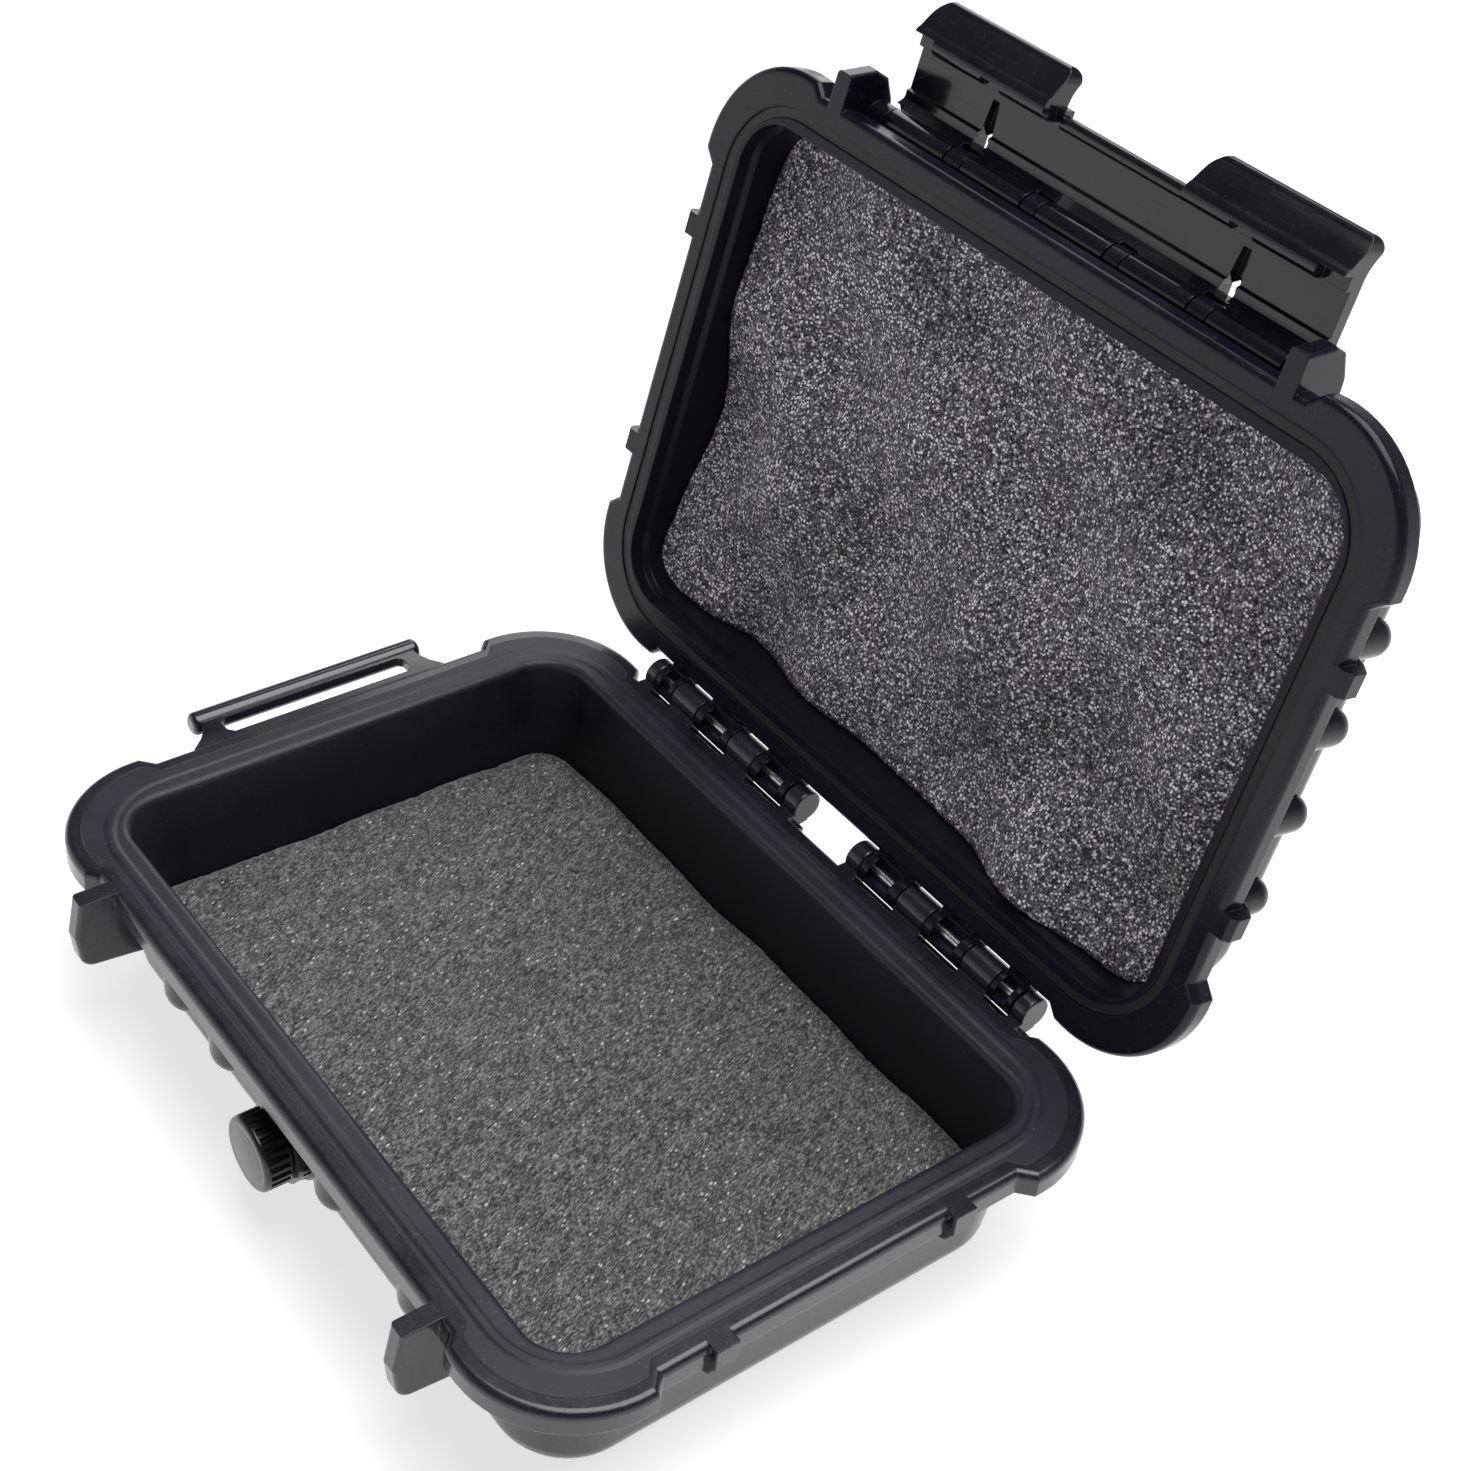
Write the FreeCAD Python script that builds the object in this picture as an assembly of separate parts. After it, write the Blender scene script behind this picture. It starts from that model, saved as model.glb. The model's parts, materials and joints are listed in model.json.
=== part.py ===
"""Small crush-resistant carry case with a clamshell lid, a wide front latch and a pressure-release knob.

Millimetres, +Z up. Origin: centre of the flat underside of the base. +X runs along the hinge, -Y is the
front (latch and knob side), +Y is the hinge side. The stored pose has the lid open on its stop and the
latch swung out level with the lid's rim. The lid pieces are drawn closed and then turned to that pose.
"""
import FreeCAD, Part
import math
import os

os.makedirs("parts", exist_ok=True)
V = FreeCAD.Vector

# ---------------------------------------------------------------- driving dimensions
HX = 86.0            # half length of the rim between the corner bumpers
HY = 61.2            # half width of the rim between the corner bumpers
BUMP_R = 22.2        # corner bumper radius
BUMP_X = 66.5        # corner bumper centre
BUMP_Y = 41.3
RIM_Z = 34.0         # height of the base rim above the resting face
FLANGE_T = 5.0       # rim flange thickness, both shells
EDGE_R = 1.5         # rounding of the rim flange's top edge

BODY_X0, BODY_Y0 = 76.4, 51.6     # base body half size at the underside
BODY_X1, BODY_Y1 = 78.6, 53.8     # base body half size under the flange
BODY_R = 14.0                     # base body corner radius in plan
BODY_BOTTOM_R = 6.0               # rounding of the base's lower edge
OPEN_X, OPEN_Y, OPEN_R = 76.0, 51.2, 9.0   # base opening
FLOOR_T = 4.0                     # base floor thickness
LINER_T = 1.0                     # soft liner thickness
LINER_INSET = 3.3                 # bare rim outside the liner's flange
RIDGE_IN = 5.5                    # sealing ridge, distance in from the rim's edge
RIDGE_H = 0.25                    # sealing ridge, height above the rim
FOAM_TOP = 11.6                   # base foam's upper face above the resting face
FOAM_X, FOAM_Y, FOAM_R = 73.8, 49.0, 8.2

LID_GAP = 0.25                    # closed gap between the two rims
LID_D = 24.5                      # lid's outer depth
LID_X1, LID_Y1 = 80.2, 55.0       # lid body half size at the flange
LID_X0, LID_Y0 = 78.6, 53.4       # lid body half size at its top
LID_R = 14.0
LID_TOP_R = 5.5
LID_OPEN_X, LID_OPEN_Y, LID_OPEN_R = 77.9, 52.6, 11.0
LID_ROOF_T = 1.8
GROOVE_X0, GROOVE_X1 = 79.5, 81.6  # lid sealing groove, half sizes in X
LID_FOAM_LOW = 11.2               # mean depth of the lid foam's face below the rim plane

HINGE_Y, HINGE_Z = 65.3, 34.8     # hinge axis
KNUCKLE_R = 3.4
PIN_R = 1.0
PIN_BORE_R = 1.06
OPEN_DEG = 102.5                  # lid opening angle, closed to stop

LATCH_Y, LATCH_Z = -60.4, 9.8     # latch pivot, lid closed, measured from the rim plane
LATCH_W = 52.6                    # latch half width
LATCH_IN, LATCH_OUT = 3.8, 6.3    # latch plate faces, distance from the pivot axis
LATCH_BARREL_R = 3.2
LATCH_TIP = 23.3

VALVE_Z = 17.0                    # pressure-release knob's height above the resting face
KNOB_R = 7.2
KNOB_FACE_Y = -64.2
SCREW_PITCH = 1.25


# ---------------------------------------------------------------- helpers
def box(x0, x1, y0, y1, z0, z1):
    return Part.makeBox(x1 - x0, y1 - y0, z1 - z0, V(x0, y0, z0))


def cyl(r, p0, axis, length):
    return Part.makeCylinder(r, length, V(*p0), V(*axis))


def rr_wire(hx, hy, r, z):
    """Rounded rectangle centred on the Z axis."""
    k = r * (1 - math.sqrt(0.5))
    pts = [(hx - r, -hy), (hx, -hy + r), (hx, hy - r), (hx - r, hy), (-hx + r, hy), (-hx, hy - r), (-hx, -hy + r), (-hx + r, -hy)]
    mids = [(hx - k, -hy + k), None, (hx - k, hy - k), None, (-hx + k, hy - k), None, (-hx + k, -hy + k), None]
    edges = []
    for i in range(8):
        a, b = pts[i], pts[(i + 1) % 8]
        if mids[i]:
            m = mids[i]
            edges.append(Part.Arc(V(a[0], a[1], z), V(m[0], m[1], z), V(b[0], b[1], z)).toShape())
        else:
            edges.append(Part.LineSegment(V(a[0], a[1], z), V(b[0], b[1], z)).toShape())
    return Part.Wire(edges)


def rr_prism(hx, hy, r, z0, z1):
    return Part.Face(rr_wire(hx, hy, r, z0)).extrude(V(0, 0, z1 - z0))


def rr_taper(a, b):
    """Solid between two rounded rectangles (hx, hy, r, z)."""
    return Part.makeLoft([rr_wire(*a), rr_wire(*b)], True, True)


def rim_prism(d, z0, z1):
    """The rim's outline with its four corner bumpers, moved in by d, as a prism."""
    hx, hy, r = HX - d, HY - d, BUMP_R - d
    ax, ay = 3.1, 1.4
    start = (61.2, hy)
    top = (BUMP_X - ax, BUMP_Y + math.sqrt(r * r - ax * ax))
    mid = (BUMP_X + r * math.sqrt(0.5), BUMP_Y + r * math.sqrt(0.5))
    side = (BUMP_X + math.sqrt(r * r - ay * ay), BUMP_Y - ay)
    end = (hx, 37.4)
    edges = []
    last = first = None
    for sx, sy, forward in ((1, 1, True), (1, -1, False), (-1, -1, True), (-1, 1, False)):
        p = [(q[0] * sx, q[1] * sy) for q in (start, top, mid, side, end)]
        if not forward:
            p = p[::-1]
        v = [V(q[0], q[1], z0) for q in p]
        if last is None:
            first = v[0]
        else:
            edges.append(Part.LineSegment(last, v[0]).toShape())
        edges.append(Part.LineSegment(v[0], v[1]).toShape())
        edges.append(Part.Arc(v[1], v[2], v[3]).toShape())
        edges.append(Part.LineSegment(v[3], v[4]).toShape())
        last = v[4]
    edges.append(Part.LineSegment(last, first).toShape())
    return Part.Face(Part.Wire(edges)).extrude(V(0, 0, z1 - z0))


def prism_yz(pts, x0, x1):
    """Polygon in (y, z) carried from x0 to x1."""
    w = Part.makePolygon([V(x0, p[0], p[1]) for p in pts] + [V(x0, pts[0][0], pts[0][1])])
    return Part.Face(w).extrude(V(x1 - x0, 0, 0))


def curved(start, steps, place):
    """Closed wire from start; a step is a point, or a (point on the arc, end point) pair."""
    edges = []
    last = start
    for q in list(steps) + [start]:
        if isinstance(q[0], tuple):
            edges.append(Part.Arc(place(*last), place(*q[0]), place(*q[1])).toShape())
            last = q[1]
        else:
            edges.append(Part.LineSegment(place(*last), place(*q)).toShape())
            last = q
    return Part.Wire(edges)


def prism_xy(pts, z0, z1):
    w = Part.makePolygon([V(p[0], p[1], z0) for p in pts] + [V(pts[0][0], pts[0][1], z0)])
    return Part.Face(w).extrude(V(0, 0, z1 - z0))


def prism_xz(pts, y0, y1):
    w = Part.makePolygon([V(p[0], y0, p[1]) for p in pts] + [V(pts[0][0], y0, pts[0][1])])
    return Part.Face(w).extrude(V(0, y1 - y0, 0))


def mx(shape):
    """Mirror image across the X = 0 plane."""
    return shape.mirror(V(0, 0, 0), V(1, 0, 0))


def fillet(shape, r, pick, note):
    edges = [e for e in shape.Edges if pick(e)]
    if not edges:
        print("no edges for", note)
        return shape
    try:
        out = shape.makeFillet(r, edges)
        if out.isValid() and out.Volume > 0:
            return out
        print("invalid fillet", note)
    except Exception as err:
        print("fillet failed", note, err)
    return shape


def at_z(e, z, tol=1e-4):
    return all(abs(v.Z - z) < tol for v in e.Vertexes) and abs(e.BoundBox.ZMin - z) < tol and abs(e.BoundBox.ZMax - z) < tol


def round_ended_post(r, p0, p1):
    """Post from p0 to p1 with a ball end at p1, both along Z."""
    h = abs(p1[2] - p0[2])
    lo = min(p0[2], p1[2])
    return cyl(r, (p0[0], p0[1], lo), (0, 0, 1), h).fuse(Part.makeSphere(r, V(*p1)))


def one(shape):
    shape = shape.removeSplitter()
    if shape.ShapeType == "Compound" and len(shape.Solids) == 1:
        shape = shape.Solids[0]
    return shape


def save(name, shape):
    s = one(shape)
    print("%-18s solids %d valid %s volume %.1f" % (name, len(s.Solids), s.isValid(), s.Volume))
    s.exportStep("parts/%s.step" % name)
    return s


def turn(shape, deg, y, z):
    s = shape.copy()
    s.rotate(V(0, y, z), V(1, 0, 0), deg)
    return s


def lid_pose(shape):
    """Closed lid coordinates (rim plane at RIM_Z) to the stored open pose."""
    return turn(shape, -OPEN_DEG, HINGE_Y, HINGE_Z)


# Knuckle spans along X on the right-hand side; the left-hand side is the mirror image.
BASE_KNUCKLES = [(8.0, 12.0), (23.4, 31.0), (42.4, 50.0), (56.4, 59.6)]
LID_KNUCKLES = [(12.4, 23.0), (31.4, 42.0), (50.4, 56.0)]
LID_WINDOWS = [(14.2, 20.6), (33.4, 39.8), (51.6, 54.8)]


# ---------------------------------------------------------------- base shell
def base_shell():
    body = rr_taper((BODY_X0, BODY_Y0, BODY_R, 0.0), (BODY_X1, BODY_Y1, BODY_R, RIM_Z - FLANGE_T))
    body = fillet(body, BODY_BOTTOM_R, lambda e: at_z(e, 0.0), "base lower edge")
    flange = rim_prism(0.0, RIM_Z - FLANGE_T - 0.01, RIM_Z)
    flange = fillet(flange, EDGE_R, lambda e: at_z(e, RIM_Z), "rim top edge")
    flange = fillet(flange, 0.4, lambda e: at_z(e, RIM_Z - FLANGE_T - 0.01), "rim lower edge")

    # raised pads on the +X side of the rim
    for y0, y1 in ((21.8, 26.4), (-28.3, -23.7)):
        pad = prism_xz([(82.0, RIM_Z), (87.7, RIM_Z), (87.7, RIM_Z - 4.2), (86.0, RIM_Z - 7.0), (82.0, RIM_Z - 7.0)], y0, y1)
        flange = flange.fuse(pad)
        # web that carries the pad's lower end back to the wall
        flange = flange.fuse(prism_xz([(76.0, RIM_Z - 4.0), (86.0, RIM_Z - 4.0), (86.0, RIM_Z - 7.0), (78.0, RIM_Z - 11.0), (76.0, RIM_Z - 11.0)], y0, y1))

    # narrow slit down the rim's side in front of each pad
    for y0 in (21.8, -28.3):
        flange = flange.cut(box(84.4, 90.0, y0 - 1.1, y0, RIM_Z - 8.0, RIM_Z - 1.6))

    # strap loop on the -X side: plate, slot and a round bar
    plate = prism_xy([(-80.0, -29.3), (-86.0, -29.3), (-88.6, -26.4), (-91.6, -24.2), (-96.0, -23.6), (-96.0, 25.2), (-91.6, 25.4), (-88.6, 26.6), (-86.0, 28.6), (-80.0, 28.6)], RIM_Z - 2.7, RIM_Z - 0.7)
    bar = cyl(2.45, (-95.0, -25.6, RIM_Z - 2.2), (0, 1, 0), 52.8)
    bar = fillet(bar, 1.2, lambda e: e.Curve.TypeId == "Part::GeomCircle", "strap bar ends")
    loop = plate.fuse(bar)
    slot = prism_xy([(-92.4, -19.4), (-91.2, -20.6), (-88.6, -20.6), (-87.4, -19.4), (-87.4, 20.6), (-88.6, 21.8), (-91.2, 21.8), (-92.4, 20.6)], RIM_Z - 12, RIM_Z + 6)
    loop = loop.cut(slot)
    outer = body.fuse(flange).fuse(loop)

    # guard ears either side of the latch
    R = RIM_Z
    ear = prism_yz([(-59.0, R - 0.05), (-67.9, R - 0.05), (-69.3, R - 8.0), (-68.3, R - 15.6), (-58.0, R - 16.8), (-51.5, R - 17.8), (-51.5, R - 3.0), (-59.0, R - 3.0)], 55.0, 58.8)
    ear = fillet(ear, 3.2, lambda e: abs(e.BoundBox.YMin + 68.3) < 0.2 and abs(e.BoundBox.ZMin - (R - 15.6)) < 0.2 and e.BoundBox.XLength > 3, "base ear corner")
    ear = fillet(ear, 0.8, lambda e: e.BoundBox.YMax < -60.0 and e.BoundBox.XLength < 0.1, "base ear edges")
    outer = outer.fuse([ear, mx(ear)])

    # rounded stiffening ribs on the front wall
    for x in (-45.0, -27.0, 12.0, 40.0):
        rib = round_ended_post(5.0, (x, -51.7, RIM_Z - FLANGE_T + 0.5), (x, -51.7, RIM_Z - 20.0))
        outer = outer.fuse(rib.common(box(x - 6, x + 6, -60, -48.0, 0, RIM_Z - 1)))

    # four low feet, level with the flat underside, that widen the stance front to back
    for sx in (1, -1):
        for sy in (1, -1):
            foot = box(38.0, 60.0, 42.0, 49.2, 0.0, 3.0)
            foot = fillet(foot, 2.0, lambda e: e.BoundBox.ZLength > 2.9 and e.BoundBox.YMax > 49.0, "foot corners")
            foot = fillet(foot, 0.35, lambda e: at_z(e, 0.0) and e.BoundBox.YMax > 43.0, "foot lower edge")
            if sx < 0:
                foot = mx(foot)
            if sy < 0:
                foot = foot.mirror(V(0, 0, 0), V(0, 1, 0))
            outer = outer.fuse(foot)

    # boss behind the pressure-release knob
    boss = cyl(8.6, (0, -55.6, VALVE_Z), (0, 1, 0), 6.0)
    boss = fillet(boss, 0.8, lambda e: e.Curve.TypeId == "Part::GeomCircle" and e.BoundBox.YMax < -55.0, "valve boss")
    outer = outer.fuse(boss)

    # hinge knuckles, each on a short arm from the rim
    arm_pts = [(58.0, R - 3.6), (63.0, R - 3.2), (HINGE_Y + 0.5, HINGE_Z - KNUCKLE_R + 0.05), (HINGE_Y, HINGE_Z), (62.6, R - 0.05), (58.0, R - 0.05)]
    for a, b in BASE_KNUCKLES:
        k = cyl(KNUCKLE_R, (a, HINGE_Y, HINGE_Z), (1, 0, 0), b - a)
        if a == 8.0 or b == 59.6:
            k = fillet(k, 0.5, lambda e: e.Curve.TypeId == "Part::GeomCircle", "knuckle ends")
        k = k.fuse(prism_yz(arm_pts, a, b))
        outer = outer.fuse([k, mx(k)])
    # low shelf that ties the knuckles together
    shelf = prism_yz([(58.0, R - 4.6), (61.6, R - 4.6), (63.4, R - 3.4), (63.4, R - 2.5), (61.0, R - 2.0), (58.0, R - 2.0)], 6.4, 61.2)
    outer = outer.fuse([shelf, mx(shelf)])

    # hollow: liner pocket, with rounded lower edges
    cav = rr_taper((BODY_X0 - 1.3, BODY_Y0 - 1.3, OPEN_R + LINER_T, FLOOR_T), (OPEN_X + LINER_T, OPEN_Y + LINER_T, OPEN_R + LINER_T, RIM_Z + 1.0))
    cav = fillet(cav, 6.0, lambda e: at_z(e, FLOOR_T), "cavity lower edge")
    outer = outer.cut(cav)
    # recess for the liner's flange
    outer = outer.cut(rim_prism(LINER_INSET, RIM_Z - 1.2, RIM_Z + 1.0))
    # valve hole and its two spot faces
    outer = outer.cut(cyl(4.6, (0, -60, VALVE_Z), (0, 1, 0), 14.0))
    outer = outer.cut(cyl(6.5, (0, -60, VALVE_Z), (0, 1, 0), 5.3))
    # hinge bores, each closed at the end that faces +X
    outer = outer.cut(cyl(PIN_BORE_R, (7.0, HINGE_Y, HINGE_Z), (1, 0, 0), 51.9))
    outer = outer.cut(cyl(PIN_BORE_R, (-61.0, HINGE_Y, HINGE_Z), (1, 0, 0), 52.3))
    return one(outer)


# ---------------------------------------------------------------- base liner and foam
def base_liner():
    o = rr_taper((BODY_X0 - 1.3, BODY_Y0 - 1.3, OPEN_R + LINER_T, FLOOR_T), (OPEN_X + LINER_T, OPEN_Y + LINER_T, OPEN_R + LINER_T, RIM_Z + 1.0))
    o = fillet(o, 6.0, lambda e: at_z(e, FLOOR_T), "liner outer lower edge")
    o = o.common(box(-120, 120, -90, 90, -1, RIM_Z - 0.6))
    fl = rim_prism(LINER_INSET, RIM_Z - 1.2, RIM_Z)
    s = o.fuse(fl)
    i = rr_taper((BODY_X0 - 2.3, BODY_Y0 - 2.3, OPEN_R, FLOOR_T + LINER_T), (OPEN_X, OPEN_Y, OPEN_R, RIM_Z + 1.0))
    i = fillet(i, 5.0, lambda e: at_z(e, FLOOR_T + LINER_T), "liner inner lower edge")
    s = one(s.cut(i))
    # low sealing ridge round the rim
    rx, ry, rad = HX - RIDGE_IN, HY - RIDGE_IN, 16.0
    base_w = rr_taper((rx + 1.3, ry + 1.3, rad + 1.3, RIM_Z - 0.05), (rx + 0.5, ry + 0.5, rad + 0.5, RIM_Z + RIDGE_H))
    hole_w = rr_taper((rx - 1.3, ry - 1.3, rad - 1.3, RIM_Z - 0.05), (rx - 0.5, ry - 0.5, rad - 0.5, RIM_Z + RIDGE_H))
    hole = hole_w.fuse(rr_prism(rx - 1.3, ry - 1.3, rad - 1.3, RIM_Z - 1.0, RIM_Z - 0.05)).fuse(rr_prism(rx - 0.5, ry - 0.5, rad - 0.5, RIM_Z + RIDGE_H, RIM_Z + 2.0))
    ridge = base_w.cut(hole)
    s = one(s.fuse(ridge))
    # rounded lip into the opening
    s = fillet(s, 1.6, lambda e: at_z(e, RIM_Z) and e.BoundBox.XMax <= OPEN_X + 0.05 and e.BoundBox.XMin >= -OPEN_X - 0.05 and e.BoundBox.YMax <= OPEN_Y + 0.05 and e.BoundBox.YMin >= -OPEN_Y - 0.05, "liner lip")
    # hole for the valve
    s = s.cut(cyl(5.2, (0, -58, VALVE_Z), (0, 1, 0), 14.0))
    return s


def base_foam():
    f = rr_prism(FOAM_X, FOAM_Y, FOAM_R, FLOOR_T + LINER_T + 0.15, FOAM_TOP)
    f = fillet(f, 5.6, lambda e: at_z(e, FLOOR_T + LINER_T + 0.15), "foam lower edge")
    # relief round the valve's inner nut
    f = f.cut(cyl(8.2, (0, -52.0, VALVE_Z), (0, 1, 0), 6.6))
    return f


# ---------------------------------------------------------------- hinge pins
def hinge_pin(x0):
    p = cyl(PIN_R, (x0, HINGE_Y, HINGE_Z), (1, 0, 0), 50.3)
    return fillet(p, 0.2, lambda e: e.Curve.TypeId == "Part::GeomCircle", "hinge pin ends")


# ---------------------------------------------------------------- lid, drawn closed
def zl(z):
    return RIM_Z + z


def lid_shell():
    g = LID_GAP
    body = rr_taper((LID_X1, LID_Y1, LID_R, zl(FLANGE_T - 0.2)), (LID_X0, LID_Y0, LID_R, zl(LID_D)))
    body = fillet(body, LID_TOP_R, lambda e: at_z(e, zl(LID_D)), "lid top edge")
    flange = rim_prism(0.0, zl(g), zl(FLANGE_T))
    flange = fillet(flange, EDGE_R, lambda e: at_z(e, zl(g)), "lid rim edge")
    flange = fillet(flange, 0.4, lambda e: at_z(e, zl(FLANGE_T)), "lid rim upper edge")
    outer = body.fuse(flange)

    # raised pads on both ends of the rim
    for y0, y1 in ((22.0, 26.6), (-26.9, -22.3)):
        pad = prism_xz([(82.0, zl(g)), (87.6, zl(g)), (88.6, zl(1.4)), (88.6, zl(4.6)), (86.4, zl(6.6)), (82.0, zl(6.6))], y0, y1)
        web = prism_xz([(78.0, zl(4.0)), (86.0, zl(4.0)), (86.0, zl(6.6)), (80.6, zl(9.6)), (78.0, zl(9.6))], y0, y1)
        p = pad.fuse(web)
        outer = outer.fuse([p, mx(p)])

    # rounded stiffening ribs on both ends
    for y in (-26.6, -8.9, 8.9, 26.6):
        rib = round_ended_post(3.6, (79.5, y, zl(4.0)), (79.5, y, zl(17.0)))
        rib = rib.common(box(76.0, 90.0, y - 5, y + 5, zl(3.0), zl(24.0)))
        outer = outer.fuse([rib, mx(rib)])
    # and on the hinge wall
    for x in (-45.0, -27.0, -9.0, 9.0, 27.0, 45.0):
        rib = round_ended_post(4.2, (x, 54.4, zl(4.0)), (x, 54.4, zl(17.0)))
        outer = outer.fuse(rib.common(box(x - 5, x + 5, 50.0, 62.0, zl(3.0), zl(24.0))))

    # guard ears either side of the latch
    ear = prism_yz([(-59.0, zl(g)), (-67.6, zl(g)), (-68.8, zl(7.0)), (-67.6, zl(10.2)), (-64.6, zl(12.0)), (-57.7, zl(13.2)), (-51.5, zl(14.0)), (-51.5, zl(3.0)), (-59.0, zl(3.0))], 55.0, 58.8)
    ear = fillet(ear, 0.8, lambda e: e.BoundBox.YMax < -60.0 and e.BoundBox.XLength < 0.1, "lid ear edges")
    outer = outer.fuse([ear, mx(ear)])

    # latch pivot: end bosses beside the ears and two pairs of arms
    py, pz = LATCH_Y, zl(LATCH_Z)
    for a, b in ((50.6, 55.4), (8.8, 12.4), (28.9, 33.1)):
        arm = cyl(LATCH_BARREL_R - 0.1, (a, py, pz), (1, 0, 0), b - a)
        arm = arm.fuse(prism_yz([(py - 0.2, pz + 2.6), (-53.0, pz + 4.0), (-53.0, pz - 3.6), (py, pz - 3.0)], a, b))
        outer = outer.fuse([arm, mx(arm)])

    # hinge knuckles
    arm_pts = [(58.0, zl(3.9)), (62.8, zl(3.9)), (HINGE_Y + 0.6, HINGE_Z + KNUCKLE_R - 0.08), (HINGE_Y, HINGE_Z), (62.4, zl(0.95)), (60.2, zl(0.95)), (58.0, zl(0.95))]
    for (a, b), (wa, wb) in zip(LID_KNUCKLES, LID_WINDOWS):
        k = cyl(KNUCKLE_R, (a, HINGE_Y, HINGE_Z), (1, 0, 0), b - a).fuse(prism_yz(arm_pts, a, b))
        # window that leaves the pin bare on the side that faces forward when the lid stands open
        k = k.cut(box(wa, wb, HINGE_Y - 5.2, HINGE_Y - 0.1, HINGE_Z - 4.2, HINGE_Z - 0.1))
        k = k.cut(box(wa, wb, HINGE_Y - 0.2, HINGE_Y + 0.9, HINGE_Z - 4.2, HINGE_Z - 0.9))
        outer = outer.fuse([k, mx(k)])
    outer = one(outer)

    # hollow, with a bevelled step just inside the rim
    mouth = rr_prism(LID_OPEN_X, LID_OPEN_Y, LID_OPEN_R, zl(g) - 1.0, zl(3.2))
    bevel = rr_taper((LID_OPEN_X, LID_OPEN_Y, LID_OPEN_R, zl(3.19)), (LID_OPEN_X - 0.9, LID_OPEN_Y - 0.9, LID_OPEN_R - 0.6, zl(4.2)))
    deep = rr_taper((LID_OPEN_X - 0.9, LID_OPEN_Y - 0.9, LID_OPEN_R - 0.6, zl(4.19)), (LID_X0 - 2.0, LID_Y0 - 2.0, LID_OPEN_R - 0.6, zl(LID_D - LID_ROOF_T)))
    deep = fillet(deep, 4.2, lambda e: at_z(e, zl(LID_D - LID_ROOF_T)), "lid cavity upper edge")
    outer = outer.cut(mouth.fuse(bevel).fuse(deep))
    # sealing groove
    gx0, gx1 = GROOVE_X0, GROOVE_X1
    dy = HY - HX
    ring = rr_prism(gx1, gx1 + dy, 17.1, zl(g) - 1.0, zl(1.6)).cut(rr_prism(gx0, gx0 + dy, 15.0, zl(g) - 2.0, zl(3.0)))
    outer = outer.cut(ring)
    # shallow panel sunk in the lid's top
    outer = outer.cut(rr_prism(62.0, 37.0, 8.0, zl(LID_D - 0.7), zl(LID_D + 2.0)))
    # bores
    for s in (1, -1):
        outer = outer.cut(cyl(PIN_BORE_R, (s * 7.0, HINGE_Y, HINGE_Z), (s, 0, 0), 54.0))
    outer = outer.cut(cyl(PIN_BORE_R, (-54.6, LATCH_Y, zl(LATCH_Z)), (1, 0, 0), 109.2))
    return one(outer)


def lid_gasket():
    """Soft cord in the floor of the lid's groove; it is 0.25 mm clear of the base's ridge when closed."""
    gx0, gx1 = GROOVE_X0 + 0.1, GROOVE_X1 - 0.1
    dy = HY - HX
    return rr_prism(gx1, gx1 + dy, 17.0, zl(0.5), zl(1.6)).cut(rr_prism(gx0, gx0 + dy, 15.1, zl(0.0), zl(3.0)))


def lid_foam():
    """Outer block of the convoluted pad in the lid."""
    top = zl(LID_D - LID_ROOF_T) - 0.15
    f = rr_prism(75.7, 50.5, 7.6, zl(LID_FOAM_LOW), top)
    return fillet(f, 4.6, lambda e: at_z(e, top), "lid foam upper edge")


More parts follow.
